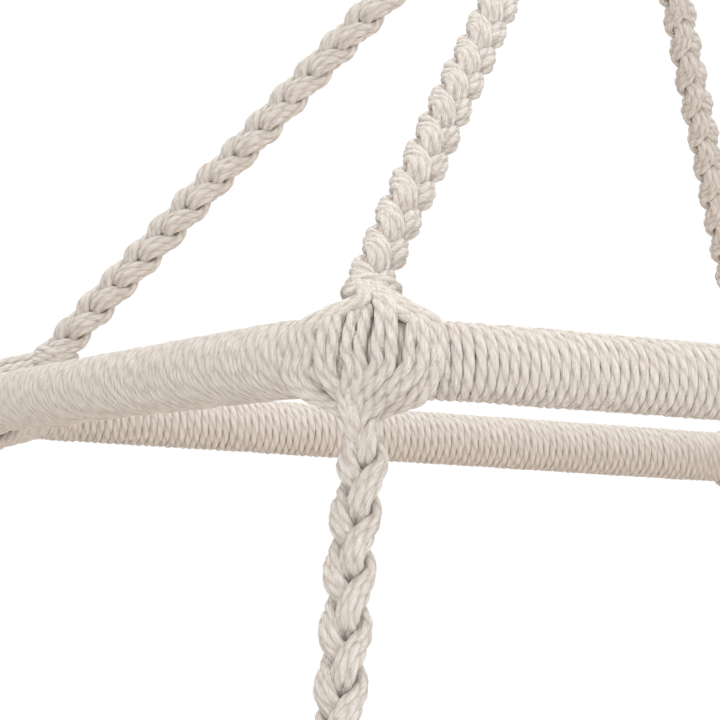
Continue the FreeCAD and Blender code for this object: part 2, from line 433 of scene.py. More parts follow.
class CordMesh:
    """Gathers swept cords into one mesh."""

    UV_NAME = "cord"
    GROOVE = "groove"
    TINT = "tint"
    END_BULGE = 0.2
    LONGEST_SHIFT = 3

    def __init__(self, seed: int) -> None:
        """Start an empty mesh with its own random draws."""
        self.random = np.random.default_rng(seed)
        self.vertices: list[Points] = []
        self.faces: list[Points] = []
        self.uvs: list[Points] = []
        self.grooves: list[Points] = []
        self.tints: list[Points] = []
        self.count = 0

    def wander(self, reach: Points, length: float) -> Points:
        """Return smooth random values along a cord, about one apart.

        Args:
            reach: the length up to each point.
            length: how far it is between independent values.

        Returns:
            The values.
        """
        count = int(reach[-1] / length) + 4
        values = self.random.normal(0, 1, count)
        at = reach / length
        cell = at.astype(int)
        ease = at - cell
        ease = ease * ease * (3 - 2 * ease)
        return values[cell] * (1 - ease) + values[cell + 1] * ease

    def add(self, cord: Cord, points: Points, shade: float = 0.0) -> None:
        """Sweep a cord along a path and close its ends.

        Args:
            cord: the cord's make.
            points: the path, as dense points.
            shade: added to the cord's tint.
        """
        path, reach = even_path(np.asarray(points, float), cord.step)
        tangent, side, other = carried_frames(path)
        radius = cord.section()
        sides = len(radius)
        rings = len(path)
        corner = np.arange(sides) / sides * FULL_TURN
        start = self.random.uniform(0, FULL_TURN)
        turn = start - reach / cord.lay_length * FULL_TURN
        turn = turn + self.wander(reach, cord.drift_length) * cord.drift
        angle = turn[:, None] + corner[None, :]
        size = 1 + self.wander(reach, cord.lump_length) * cord.lump
        spread = (size[:, None] * radius[None, :])[..., None]
        wheel = (np.cos(angle)[..., None] * side[:, None, :]
                 + np.sin(angle)[..., None] * other[:, None, :])
        body = path[:, None, :] + spread * wheel
        ends = np.stack([path[0] - tangent[0] * cord.diameter * self.END_BULGE,
                         path[-1] + tangent[-1] * cord.diameter * self.END_BULGE])
        self.vertices.append(np.vstack([body.reshape(-1, 3), ends]))
        ring = np.arange(rings - 1)[:, None] * sides
        k = np.arange(sides)[None, :]
        nxt = (k + 1) % sides
        quads = np.stack([ring + k, ring + nxt, ring + sides + nxt, ring + sides + k], -1)
        last = (rings - 1) * sides
        low, high = rings * sides, rings * sides + 1
        k, nxt = k[0], nxt[0]
        caps = np.concatenate([
            np.stack([np.full(sides, low), nxt, k, k], 1),
            np.stack([np.full(sides, high), last + k, last + nxt, last + nxt], 1)])
        self.faces.append(np.concatenate([quads.reshape(-1, 4), caps]) + self.count)
        girth = math.pi * cord.diameter / sides
        shift = self.random.uniform(0, self.LONGEST_SHIFT)
        along = np.broadcast_to((reach + shift)[:, None], angle.shape)
        place = angle * cord.diameter / 2
        grid = np.stack([
            np.stack([along[:-1], place[:-1]], -1),
            np.stack([along[:-1], place[:-1] + girth], -1),
            np.stack([along[1:], place[1:] + girth], -1),
            np.stack([along[1:], place[1:]], -1)], 2)
        self.uvs.append(np.concatenate([grid.reshape(-1, 4, 2), np.zeros((2 * sides, 4, 2))]))
        # The groove values also set the painted groove shade; the two cap centres get half of it.
        self.grooves.append(np.concatenate([np.tile(cord.groove(), rings), [0.5, 0.5]]))
        tint = self.random.uniform(0.0, 1.0) + shade
        self.tints.append(np.full(rings * sides + 2, tint))
        self.count += rings * sides + 2

    def mesh(self, name: str) -> bpy.types.Mesh:
        """Return the gathered cords as one mesh.

        Args:
            name: the mesh's name.

        Returns:
            The mesh, with how deep in a groove and how tinted each of its points is.
        """
        vertices = np.vstack(self.vertices)
        faces = np.concatenate(self.faces)
        uvs = np.concatenate(self.uvs)
        triangle = faces[:, 2] == faces[:, 3]
        sizes = np.where(triangle, 3, 4)
        keep = np.ones_like(faces, bool)
        keep[triangle, 3] = False
        mesh = bpy.data.meshes.new(name)
        mesh.vertices.add(len(vertices))
        mesh.vertices.foreach_set("co", vertices.astype(np.float32).ravel())
        mesh.loops.add(int(sizes.sum()))
        mesh.loops.foreach_set("vertex_index", faces[keep].astype(np.int32))
        mesh.polygons.add(len(faces))
        starts = np.concatenate([[0], np.cumsum(sizes)[:-1]])
        mesh.polygons.foreach_set("loop_start", starts.astype(np.int32))
        mesh.polygons.foreach_set("use_smooth", np.ones(len(faces), bool))
        layer = mesh.uv_layers.new(name=self.UV_NAME)
        layer.data.foreach_set("uv", uvs[keep].astype(np.float32).ravel())
        for key, values in ((self.GROOVE, self.grooves), (self.TINT, self.tints)):
            held = mesh.attributes.new(key, "FLOAT", "POINT")
            held.data.foreach_set("value", np.concatenate(values).astype(np.float32))
        mesh.validate()
        mesh.update()
        return mesh


def add_object(name: str, data: bpy.types.ID) -> bpy.types.Object:
    """Return a new object in the scene."""
    made = bpy.data.objects.new(name, data)
    bpy.context.scene.collection.objects.link(made)
    return made


def place_piece(mesh: bpy.types.Mesh, body: str, material: Material, node: str) -> None:
    """Put a mesh in the scene as a piece of the planter, under the mesh's name.

    Args:
        mesh: its mesh, in the planter's frame.
        body: the CAD body that it rides on.
        material: its finish.
        node: the CAD node that it stands for.
    """
    piece = add_object(mesh.name, mesh)
    mesh.materials.append(material)
    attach(piece, body)
    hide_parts(node)
    LOG.info("%s: %d faces on %s", mesh.name, len(mesh.polygons), body)


# The planter's plan.


class Corner(Enum):
    """The four corners, by the signs of their X and Y."""

    front_left = (-1, -1)
    front_right = (1, -1)
    back_right = (1, 1)
    back_left = (-1, 1)


class Side(Enum):
    """The four sides of a frame, by the turn from the front side in degrees."""

    front = 0
    right = 90
    back = 180
    left = 270


@dataclass(frozen=True)
class FramePlan:
    """The centre line of one rounded square frame, read from its cane."""

    level: float
    half: float
    cane_radius: float
    bend_radius: float = 56.0 * MM

    @classmethod
    def of(cls, node: str) -> "FramePlan":
        """Return the plan of a packed cane."""
        low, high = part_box(node)
        radius = (high.z - low.z) / 2
        return cls((high.z + low.z) / 2, high.x - radius, radius)

    def local(self, corner: Corner) -> tuple[Points, Points, Points]:
        """Return a corner's own directions.

        Args:
            corner: the corner.

        Returns:
            The bend's middle, the way along the bar there and the way outward.
        """
        out = unit(np.array([*corner.value, 0.0]))
        along = np.cross(UP, out)
        reach = (self.half - self.bend_radius * (1 - math.sqrt(0.5))) * math.sqrt(2)
        return out * reach + UP * self.level, along, out

    def around(self, corner: Corner, u: float, degrees: float, radius: float) -> Points:
        """Return a point round the bar near a corner.

        Args:
            corner: the corner.
            u: how far along the bar from the corner's middle.
            degrees: 0 on the outer side, 90 on top, 180 inside, -90 underneath.
            radius: distance from the bar's centre line.

        Returns:
            The point.
        """
        middle, along, out = self.local(corner)
        turn = u / self.bend_radius
        centre = middle + along * self.bend_radius * math.sin(turn)
        centre = centre - out * self.bend_radius * (1 - math.cos(turn))
        normal = out * math.cos(turn) + along * math.sin(turn)
        swing = math.radians(degrees)
        return centre + radius * (normal * math.cos(swing) + UP * math.sin(swing))

    def side_line(self, side: Side, reach: Points) -> tuple[Points, Points]:
        """Return points and outward directions along one side, from bend middle to bend middle.

        Args:
            side: the side.
            reach: lengths along the centre line.

        Returns:
            The points and the directions.
        """
        straight = 2 * (self.half - self.bend_radius)
        arc = self.bend_radius * math.pi / 4
        turn = (np.clip(reach - arc - straight, 0, None) + np.clip(reach - arc, None, 0))
        turn = turn / self.bend_radius
        run = np.clip(reach - arc, 0, straight) - straight / 2
        x = run + self.bend_radius * np.sin(turn)
        y = -self.half + self.bend_radius * (1 - np.cos(turn))
        point = np.stack([x, y, np.full_like(x, self.level)], 1)
        out = np.stack([np.sin(turn), -np.cos(turn), np.zeros_like(x)], 1)
        spin = np.array(Matrix.Rotation(math.radians(side.value), 3, "Z"))
        return point @ spin.T, out @ spin.T

    def side_length(self) -> float:
        """Return a side's centre line from the middle of one bend to the middle of the next."""
        return 2 * (self.half - self.bend_radius) + self.bend_radius * math.pi / 2


@dataclass
class WrappedFrame:
    """A cane frame covered by turns of cord, one winding to each side."""

    tier: str
    body: str
    plan: FramePlan
    cord: Cord
    material: Material
    seed: int
    pitch: float = 4.05 * MM
    bend_press: float = 0.9
    seat: float = 0.47
    slide: float = 0.11 * MM
    lift: float = 0.09 * MM
    points_per_turn: int = 32

    def winding(self, side: Side, seed: int) -> CordMesh:
        """Return the turns of one side, unevenly pressed together as by hand.

        Args:
            side: the side.
            seed: for the unevenness.

        Returns:
            The cord, from the middle of one bend to the middle of the next.
        """
        made = CordMesh(seed)
        length = self.plan.side_length()
        arc = self.plan.bend_radius * math.pi / 4
        bend_turns = arc / (self.pitch * self.bend_press)
        straight_turns = (length - 2 * arc) / self.pitch
        turns = 2 * bend_turns + straight_turns
        count = int(turns * self.points_per_turn)
        turn = np.linspace(0.0, turns, count)
        whole = np.arange(int(turns) + 3)
        slide = np.interp(turn, whole, made.random.normal(0, self.slide, len(whole)))
        lift = np.interp(turn, whole, made.random.normal(0, self.lift, len(whole)))
        marks = np.cumsum([0, bend_turns, straight_turns, bend_turns])
        spaced = np.interp(turn, marks, [0, arc, length - arc, length])
        reach = np.clip(spaced + slide, 0, length)
        point, out = self.plan.side_line(side, reach)
        angle = made.random.uniform(0, 6) - turn[:, None] * FULL_TURN
        radius = (self.plan.cane_radius + self.seat * self.cord.diameter + lift)[:, None]
        made.add(self.cord, point + radius * (np.cos(angle) * out + np.sin(angle) * UP))
        return made

    def build(self) -> None:
        """Make the four windings."""
        for number, side in enumerate(Side):
            name = f"{self.tier}_frame_wrap_{side.name}"
            mesh = self.winding(side, self.seed + number).mesh(name + "_cord")
            place_piece(mesh, self.body, self.material, name)


def diamond(across: float, up: float) -> tuple[tuple[float, float], ...]:
    """Return the places of the four cords in one strand, from half its width and height."""
    return (-across, 0.0), (0.0, up), (across, 0.0), (0.0, -up)


@dataclass
class Plait:
    """A three-strand plait of cords along a line; each strand is a small bundle of cords."""

    cord: Cord
    bundle: tuple[tuple[float, float], ...]
    half_width: float
    half_depth: float
    bump_spacing: float
    roll: float
    pull: float = 0.05
    strand_pull: float = 0.06
    tied_share: float = 0.45
    step: float = 1.2 * MM

    def build(self, made: CordMesh, line: Points, way: Points, lead: float = 0.0,
              taper: float = 0.0) -> None:
        """Sweep the plait's cords along a line.

        Args:
            made: the mesh that takes the cords.
            line: the plait's own centre line, as dense points.
            way: the level direction that the plait's roll is measured from.
            lead: shift of the pattern along the line, as a share of its period.
            taper: the length at its start over which the plait opens from a tight bundle.
        """
        path, reach = even_path(line, self.step)
        tangent = carried_frames(path)[0]
        other = np.cross(tangent, way)
        other /= np.linalg.norm(other, axis=1)[:, None]
        side = np.cross(other, tangent)
        roll = math.radians(self.roll)
        across = side * math.cos(roll) + other * math.sin(roll)
        depth = np.cross(tangent, across)
        period = 3 * self.bump_spacing
        draw = 1 + self.pull * np.sin(reach / period * 1.3 + lead * 20)
        if taper:
            opened = np.clip(reach / taper, 0, 1)
            draw = draw * (self.tied_share + (1 - self.tied_share) * opened)
        for strand in range(3):
            phase = reach / period * FULL_TURN + (strand / 3 + lead) * FULL_TURN
            wave = np.sin(reach / period * 1.7 + strand * 2 + lead * 9)
            wobble = draw * (1 + self.strand_pull * wave)
            x = self.half_width * np.sin(phase) * wobble
            z = -self.half_depth * np.sin(2 * phase) * draw
            centre = path + across * x[:, None] + depth * z[:, None]
            run = np.gradient(centre, axis=0)
            run /= np.linalg.norm(run, axis=1)[:, None]
            outward = across * (0.55 * x)[:, None] + depth * z[:, None] * 1.6
            outward += depth * np.sign(z + 1e-9)[:, None] * 0.4 * MM
            flat = np.cross(run, outward)
            flat /= np.linalg.norm(flat, axis=1)[:, None]
            flat = self.steady(flat)
            lift = np.cross(flat, run)
            snug = draw[:, None] if taper else 1.0
            for place, height in self.bundle:
                made.add(self.cord, centre + (flat * place + lift * height) * snug)

    @staticmethod
    def steady(directions: Points) -> Points:
        """Return directions that never flip and turn smoothly from point to point.

        Args:
            directions: the directions as found at each point.

        Returns:
            The smoothed directions.
        """
        flips = np.sign(np.einsum("ij,ij->i", directions[1:], directions[:-1]))
        signs = np.concatenate([[1.0], np.cumprod(np.where(flips == 0, 1, flips))])
        steady = directions * signs[:, None]
        window = np.hanning(9)
        window /= window.sum()
        padded = np.pad(steady, ((4, 4), (0, 0)), mode="edge")
        soft = np.stack([np.convolve(padded[:, k], window, "valid") for k in range(3)], 1)
        return soft / np.linalg.norm(soft, axis=1)[:, None]


@dataclass(frozen=True)
class CordGroup:
    """Neighbouring cords of a knot that lie the same way.

    A spot is a length along the bar in millimetres, an angle round it in degrees (0 on the
    outer side, 90 on top) and a radius in millimetres.
    """

    places: tuple[float, ...]
    roof: tuple[tuple[float, float, float], ...]
    roof_step: tuple[float, float]
    radius: float
    dive: tuple[tuple[float, float, float], ...]
    neck: tuple[float, float]
    collar_turn: float = 0.0
    collar_out: float = 6.4
    looped: bool = False


@dataclass
class CornerKnot:
    """The crossed cords that lash a frame's corner between the braids above and below.

    The foot, the collar and the neck are placed in metres, the cords in millimetres. A fan is
    the first and the last place of its cords and how many there are.
    """

    tier: str
    body: str
    plan: FramePlan
    corner: Corner
    cord: Cord
    material: Material
    seed: int
    above: Points
    below: Points
    stray: float = 0.0
    foot_along: float = 0.0
    foot_out: float = 0.0
    collar_reach: float = 31.0 * MM
    neck_reach: float = 27.0 * MM
    back_fan: tuple[float, float, int] = (-15.0, 19.0, 11)
    back_middle: float = 2.25
    back_half: float = 17.0
    core_fan: tuple[float, float, int] = (-13.0, 20.0, 11)
    core_radius: float = 14.3
    collar_half: float = 7.4
    cord_spacing: float = 2.6
    loop_top: float = 0.35
    roof_jitter: float = 0.25
    side_jitter: float = 0.1
    back_jitter: float = 0.16
    turn_count: float = 2.7
    turn_radius: float = 8.9
    turn_reach: float = 31.5
    turn_pitch: float = 3.6
    groups: tuple[CordGroup, ...] = (
        CordGroup((-18.4, -15.4, -12.2), ((0.4, 75, 21.2), (-7.8, 55, 18.0), (-15.0, 34, 16.4)),
                  (1.5, -7), 15.8, ((-17.6, -22, 16.4), (-15.0, -48, 17.8), (-6.8, -68, 18.8)),
                  (-2.2, 2.5), -8.0),
        CordGroup((-8.0, -4.4), ((-6.4, 86, 16.8), (-6.8, 62, 17.2), (-6.4, 38, 17.4)),
                  (3.6, 0), 17.4, ((-6.4, -16, 17.8), (-4.8, -36, 18.0), (-2.8, -58, 17.8)),
                  (-1.8, 6.0), -60.0, 4.4),
        CordGroup((-0.2, 3.4), ((1.6, 64, 18.8), (1.6, 42, 17.8)),
                  (3.6, 0), 17.6, ((2.6, -12, 18.6), (1.6, -30, 19.0), (-1.0, -50, 19.2)),
                  (-1.0, 8.8), looped=True),
        CordGroup((8.4, 12.0), ((6.4, 80, 21.4), (9.0, 58, 20.0), (10.2, 38, 19.0)),
                  (3.6, 0), 18.2, ((10.2, -12, 19.0), (6.2, -30, 19.4), (1.0, -52, 19.6)),
                  (0.8, 8.6), 14.0),
        CordGroup((16.9, 20.5), ((14.6, 84, 17.0), (17.4, 60, 17.8), (18.6, 38, 17.6)),
                  (3.6, 0), 17.4, ((18.2, -14, 18.2), (13.6, -34, 18.8), (7.4, -58, 19.0)),
                  (2.6, 6.4), 62.0, 4.4),
        CordGroup((21.6, 23.4, 25.0), ((9.0, 79, 21.2), (14.8, 62, 18.8), (21.0, 42, 17.2)),
                  (1.6, 6), 15.4, ((20.8, -24, 16.0), (17.4, -52, 17.4), (8.2, -74, 18.4)),
                  (2.4, 1.0), 34.0),
    )

    def __post_init__(self) -> None:
        """Work out where the cords come from and go to."""
        middle, self.way, self.normal = self.plan.local(self.corner)
        self.foot = middle + self.way * self.foot_along + self.normal * self.foot_out
        self.collar = self.foot + self.above * self.collar_reach
        self.neck = middle + self.below * self.neck_reach + self.normal * self.stray
        self.made = CordMesh(self.seed)

    def build(self) -> None:
        """Make the knot."""
        self.front_cords()
        self.back_cords()
        self.core_cords()
        self.collar_turns()
        name = f"{self.tier}_knot_{self.corner.name}"
        place_piece(self.made.mesh(name + "_cords"), self.body, self.material, name)

    def off(self, base: Points, along: float, out: float, rest: Points | float = 0.0) -> Points:
        """Return a base moved along the bar, outward and by a vector, in millimetres."""
        return base + (self.way * along + self.normal * out + rest) * MM

    def spot(self, u: float, degrees: float, radius: float) -> Points:
        """Return the point of a spot, given in millimetres and degrees."""
        return self.plan.around(self.corner, u * MM, degrees, radius * MM)

    def front_cords(self) -> None:
        """Lay the cords that fan out over the corner's outer side and cross underneath."""
        for group in self.groups:
            middle = (len(group.places) - 1) / 2
            legs = [self.front_leg(group, place, number - middle)
                    for number, place in enumerate(group.places)]
            if group.looped:
                legs = [legs[0][::-1] + legs[1]]
            for number, points in enumerate(legs):
                self.made.add(self.cord, smooth_path(points), shade=0.1 * number - 0.08)

    def front_leg(self, group: CordGroup, place: float, inner: float) -> list[Points]:
        """Return the route of one cord from the collar down to the neck.

        Args:
            group: the cord's group.
            place: where it crosses the bar's outer side.
            inner: its number in the group, counted from the group's middle.

        Returns:
            The route's points; a looped cord's leave out the collar.
        """
        points = [] if group.looped else self.collar_points(group, inner)
        near, turn_step = group.roof_step
        for step, (u, degrees, radius) in enumerate(group.roof):
            jitter = self.made.random.normal(0, self.roof_jitter)
            spread = inner * (near + (self.cord_spacing - near) * step / 2)
            if group.looped:
                spread = inner * near * (self.loop_top + (1 - self.loop_top) * step)
            angle = degrees + turn_step * inner * (1 - step / 3)
            points.append(self.spot(u + spread + jitter, angle, radius))
        for angle in (16, 0):
            radius = group.radius + self.made.random.normal(0, self.side_jitter)
            points.append(self.spot(place, angle, radius))
        for u, degrees, radius in group.dive:
            points.append(self.spot(u + 3.0 * inner, degrees - 4 * inner, radius))
        along, out = group.neck
        for share, step, depth, drop in ((0.8, 1.2, 1.0, UP * 4.5), (0.45, 1.0, 0.5, UP * -3.0),
                                         (0.3, 0.9, 0.2, self.below * 10)):
            points.append(self.off(self.neck, along * share + inner * step, out * depth, drop))
        return points

    def collar_points(self, group: CordGroup, inner: float) -> list[Points]:
        """Return the two points where a front cord leaves the collar.

        Args:
            group: the cord's group.
            inner: its number in the group, counted from the group's middle.

        Returns:
            The points, the one inside the collar first.
        """
        front = unit(self.normal - self.above * float(self.normal @ self.above))
        turn = math.radians(group.collar_turn + 12 * inner)
        ring = self.way * math.sin(turn) + front * math.cos(turn)
        return [self.collar + (ring * out + self.above * rise) * MM
                for out, rise in ((4.4, 9), (group.collar_out, 2))]

    def back_cords(self) -> None:
        """Lay the cords that pass down the corner's inner side."""
        for place in np.linspace(*self.back_fan):
            jitter = self.made.random.normal(0, self.back_jitter, 3)
            share = (place - self.back_middle) / self.back_half
            crown = max(0.0, 1.0 - abs(share))
            cross = -0.16 * place
            at_collar = self.collar_half * share
            top = self.off(self.collar, at_collar, -5.0 * math.cos(share * 1.4))
            start = self.foot_along / MM + at_collar
            self.made.add(self.cord, smooth_path([
                top + self.above * 8 * MM,
                top,
                self.spot((start + place) / 2, 132, 16.6 + 3.0 * crown),
                self.spot(place, 172, 16.2 + jitter[1]),
                self.spot(place * 0.85, 222, 16.6 + jitter[2]),
                self.off(self.neck, cross + place * 0.30, -6, UP * 8),
                self.off(self.neck, cross, -2.5),
                self.off(self.neck, 0.0, -1.5, self.below * 10),
            ]))

    def core_cords(self) -> None:
        """Lay the hidden cords that fill the tent over the bar and the throat under it."""
        for place in np.linspace(*self.core_fan):
            spread = place * 0.28
            round_bar = [self.spot(place * share, angle, self.core_radius)
                         for share, angle in ((0.8, 100), (1.0, 60), (1.0, 10), (0.9, -35), (0.6, -75))]
            at_collar = self.off(self.collar, spread, 0.0)
            self.made.add(self.cord, smooth_path([
                at_collar + self.above * 4 * MM,
                at_collar,
                (at_collar + round_bar[0]) / 2,
                *round_bar,
                self.off(self.neck, spread * 0.5, 1.5, UP * 5),
                self.off(self.neck, spread * 0.4, 0.0, self.below * 6),
            ]))

    def collar_turns(self) -> None:
        """Wind the tight turns round the foot of the braid above."""
        level = unit(self.above * 0.35 + UP)
        side = unit(np.cross(level, UP + self.above))
        other = np.cross(level, side)
        turn = np.linspace(0.0, self.turn_count, 110)[:, None]
        radius = (self.turn_radius - 0.3 * turn) * MM
        angle = turn * FULL_TURN + self.made.random.uniform(0, 6)
        reach = self.turn_reach + turn * self.turn_pitch
        centre = self.foot + self.above * reach * MM + level * 0.5 * MM * np.sin(angle)
        self.made.add(self.cord, centre + radius * (side * np.cos(angle) + other * np.sin(angle)))


@dataclass
class Hanger:
    """The ring, the cords looped over it and the wrap that gathers them."""

    cord: Cord
    cotton: Material
    steel: Material
    seed: int
    ring_steps: tuple[int, int] = (160, 28)
    loop_places: tuple[tuple[int, ...], ...] = ((-8, -4, 0, 4, 8), (-6, -2, 2, 6))
    bundle: tuple[tuple[float, int], ...] = ((15.5, 20), (11.0, 14), (6.5, 8))

    def __post_init__(self) -> None:
        """Read the hanger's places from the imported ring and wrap."""
        low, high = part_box("hanging_ring")
        self.wire = (high.y - low.y) / 2
        self.ring_radius = (high.x - low.x) / 2 - self.wire
        self.ring_level = (high.z + low.z) / 2
        self.wrap_low, self.wrap_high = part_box("gathering_wrap")

    def ring(self) -> None:
        """Make the smooth steel ring with its small welded seam."""
        rings, sides = self.ring_steps
        around = np.arange(rings) / rings * FULL_TURN
        across = np.arange(sides) / sides * FULL_TURN
        bead = 1 + 0.06 * np.exp(-((around - math.pi * 0.75) / 0.035) ** 2)
        out = np.stack([np.cos(around), np.zeros(rings), np.sin(around)], 1)
        core = UP * self.ring_level + self.ring_radius * out
        radius = (self.wire * bead)[:, None, None]
        body = core[:, None, :] + radius * (np.cos(across)[None, :, None] * out[:, None, :]
                                            + np.sin(across)[None, :, None] * np.array([0, 1.0, 0]))
        i, k = np.meshgrid(np.arange(rings), np.arange(sides), indexing="ij")
        j, m = (i + 1) % rings, (k + 1) % sides
        quads = np.stack([i * sides + k, i * sides + m, j * sides + m, j * sides + k], -1)
        mesh = bpy.data.meshes.new("steel_ring")
        mesh.from_pydata(body.reshape(-1, 3).tolist(), [], quads.reshape(-1, 4).tolist())
        mesh.shade_smooth()
        place_piece(mesh, "ring", self.steel, "hanging_ring")

    def loops(self) -> None:
        """Lay the cords over the ring's lower wire and down into the gathering wrap."""
        made = CordMesh(self.seed)
        for layer, places in enumerate(self.loop_places):
            radius = self.wire + 0.8 * MM + self.cord.diameter * (layer + 0.5)
            for place in places:
                x = place * MM
                z = self.ring_level - math.sqrt(self.ring_radius ** 2 - x ** 2)
                arc = [np.array([x, radius * math.cos(a), z + radius * math.sin(a)])
                       for a in np.radians(np.arange(0, 181, 20))]
                reach = (6.5 + 7.5 * layer) * MM
                legs = []
                for sign in (1, -1):
                    foot = np.array([x * (1.1 + 0.5 * layer), sign * reach, self.wrap_high.z])
                    shoulder = np.array([x * 1.05, sign * radius * 0.98, z - 6 * MM])
                    legs.append([foot - UP * 14 * MM, foot, shoulder])
                points = legs[0] + arc + legs[1][::-1]
                made.add(self.cord, smooth_path(points, 6))
        place_piece(made.mesh("ring_loop_cords"), "hanger", self.cotton, "cord_loops")

    def wrap(self) -> None:
        """Wind the gathering wrap round its bundle of cords."""
        made = CordMesh(self.seed + 1)
        height = self.wrap_high.z - self.wrap_low.z
        turns = height / self.cord.diameter - 1
        turn = np.linspace(0, turns, int(turns * 44))[:, None]
        angle = turn * FULL_TURN
        radius = self.wrap_high.x - self.cord.diameter / 2
        z = self.wrap_low.z + self.cord.diameter / 2 + turn * self.cord.diameter
        points = np.hstack([radius * np.cos(angle), radius * np.sin(angle), z])
        made.add(self.cord, points)
        low = UP * (self.wrap_low.z + 6 * MM)
        for ring, count in self.bundle:
            for k in range(count):
                foot = low + spoke(FULL_TURN * k / count) * ring * MM
                top = foot + UP * (height + 2 * MM)
                made.add(self.cord, np.linspace(foot, top, 12))
        name = "gathering_wrap"
        place_piece(made.mesh(name + "_cord"), "hanger", self.cotton, name)


@dataclass
class Braids:
    """The braids above the upper frame and between the two tiers."""

    upper: FramePlan
    lower: FramePlan
    apex: Points
    gather_z: float
    tight: Plait
    loose: Plait
    foot_along: float
    foot_out: float
    sway: Points
    material: Material
    upper_lead: float = 0.30
    lower_lead: float = 0.19
    opening: float = 20 * MM

    @staticmethod
    def stray_of(corner: Corner) -> float:
        """Return how far a lower braid hangs outward of its place, as tied by hand."""
        return 9.0 * MM if corner is Corner.back_left else 0.0

    def upper_foot(self, corner: Corner) -> Points:
        """Return the point inside an upper knot that its braid's centre line starts from."""
        middle, way, normal = self.upper.local(corner)
        return middle + way * self.foot_along + normal * self.foot_out

    def upper_way(self, corner: Corner) -> Points:
        """Return the way that an upper braid leaves its knot."""
        return unit(self.apex - self.upper_foot(corner))

    def lower_way(self, corner: Corner) -> Points:
        """Return the way that a lower braid leaves its knot."""
        return unit(self.lower.local(corner)[0] - self.upper.local(corner)[0])

    def build_upper(self, corner: Corner, seed: int) -> None:
        """Make one braid from its knot's collar to the gathering wrap.

        Args:
            corner: its corner.
            seed: for the unevenness of its cords.
        """
        foot = self.upper_foot(corner)
        out = self.apex - foot
        share = (self.gather_z + 5 * MM - foot[2]) / out[2]
        steps = ((0.075, 0.55), (0.2, 0.75), (0.40, 0.95), (0.60, 1.0), (0.82, 0.75), (share, 0.0))
        line = smooth_path([foot + out * reach + self.sway * part for reach, part in steps], 40)
        made = CordMesh(seed)
        way = self.upper.local(corner)[1]
        self.tight.build(made, line, way, lead=self.upper_lead)
        name = f"upper_braid_{corner.name}"
        place_piece(made.mesh(name + "_cords"), "hanger", self.material, name)

    def build_lower(self, corner: Corner, seed: int) -> None:
        """Make one braid from under the upper knot down into the lower one.

        Args:
            corner: its corner.
            seed: for the unevenness of its cords.
        """
        middle, way, normal = self.upper.local(corner)
        foot = self.lower.local(corner)[0]
        down = self.lower_way(corner)
        stray = normal * self.stray_of(corner)
        steps = ((18, 1.5, 2.0, 1.0), (30, 2.2, 1.0, 1.0), (44, 1.6, 0.0, 1.0), (66, 0.4, 0.0, 1.0),
                 (110, 0.0, 0.0, 1.0), (210, 0.0, 0.0, 0.7), (300, 0.0, 0.0, 0.3))
        points = [middle + (down * reach + way * along + normal * out) * MM + stray * part
                  for reach, along, out, part in steps]
        points.append(foot - down * 28 * MM)
        made = CordMesh(seed)
        self.loose.build(made, smooth_path(points, 30), way, lead=self.lower_lead,
                         taper=self.opening)
        name = f"lower_braid_{corner.name}"
        body = f"braid_{corner.name}"
        place_piece(made.mesh(name + "_cords"), body, self.material, name)


@dataclass
class Tassel:
    """The cord ends under a lower knot, tied once and combed out below the tie."""

    cord: Cord
    yarn: Yarn
    corner: Corner
    material: Material
    seed: int
    yarns: int = 120
    golden_angle: float = 2.39996
    opening: tuple[float, ...] = (0.38, 0.50, 0.66, 0.80, 0.92)

    def build(self) -> None:
        """Make the tassel and its tie."""
        name = f"tassel_{self.corner.name}"
        low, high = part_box(name)
        tie_name = f"tassel_tie_{self.corner.name}"
        tie_low, tie_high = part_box(tie_name)
        centre = np.array([(low.x + high.x) / 2, (low.y + high.y) / 2, 0.0])
        made = CordMesh(self.seed)
        for k in range(7):
            ring = spoke(FULL_TURN * k / 6) * (0.0 if k == 6 else 4.2 * MM)
            steps = ((0.7, high.z + 4 * MM), (1.0, high.z), (1.0, tie_high.z), (0.9, tie_low.z))
            made.add(self.cord, smooth_path([centre + ring * r + UP * z for r, z in steps]))
        skirt = (high.x - low.x) / 2
        count = len(self.opening)
        for k in range(self.yarns):
            share = math.sqrt((k + 0.5) / self.yarns)
            ring = spoke(k * self.golden_angle)
            drift = made.random.normal(0, 1.0 * MM, (count, 3)) * np.array([1, 1, 0.2])
            ends = low.z + made.random.uniform(0, 7) * MM
            heights = np.linspace(tie_low.z + 5 * MM, ends, count)
            spreads = np.array(self.opening) * skirt * share
            path = [centre + ring * r + UP * h + d for r, h, d in zip(spreads, heights, drift)]
            made.add(self.yarn, smooth_path(path, 6))
        place_piece(made.mesh(name + "_cords"), name, self.material, name)
        tie = CordMesh(self.seed + 1)
        turns = (tie_high.z - tie_low.z) / self.cord.diameter - 0.8
        turn = np.linspace(0, turns, 120)[:, None]
        angle = turn * FULL_TURN
        radius = (tie_high.x - tie_low.x) / 2 - self.cord.diameter / 2
        circle = np.hstack([np.cos(angle), np.sin(angle), np.zeros_like(angle)]) * radius
        height = tie_low.z + self.cord.diameter * (0.45 + turn)
        tie.add(self.cord, centre + circle + UP * height)
        place_piece(tie.mesh(tie_name + "_cord"), name, self.material, tie_name)


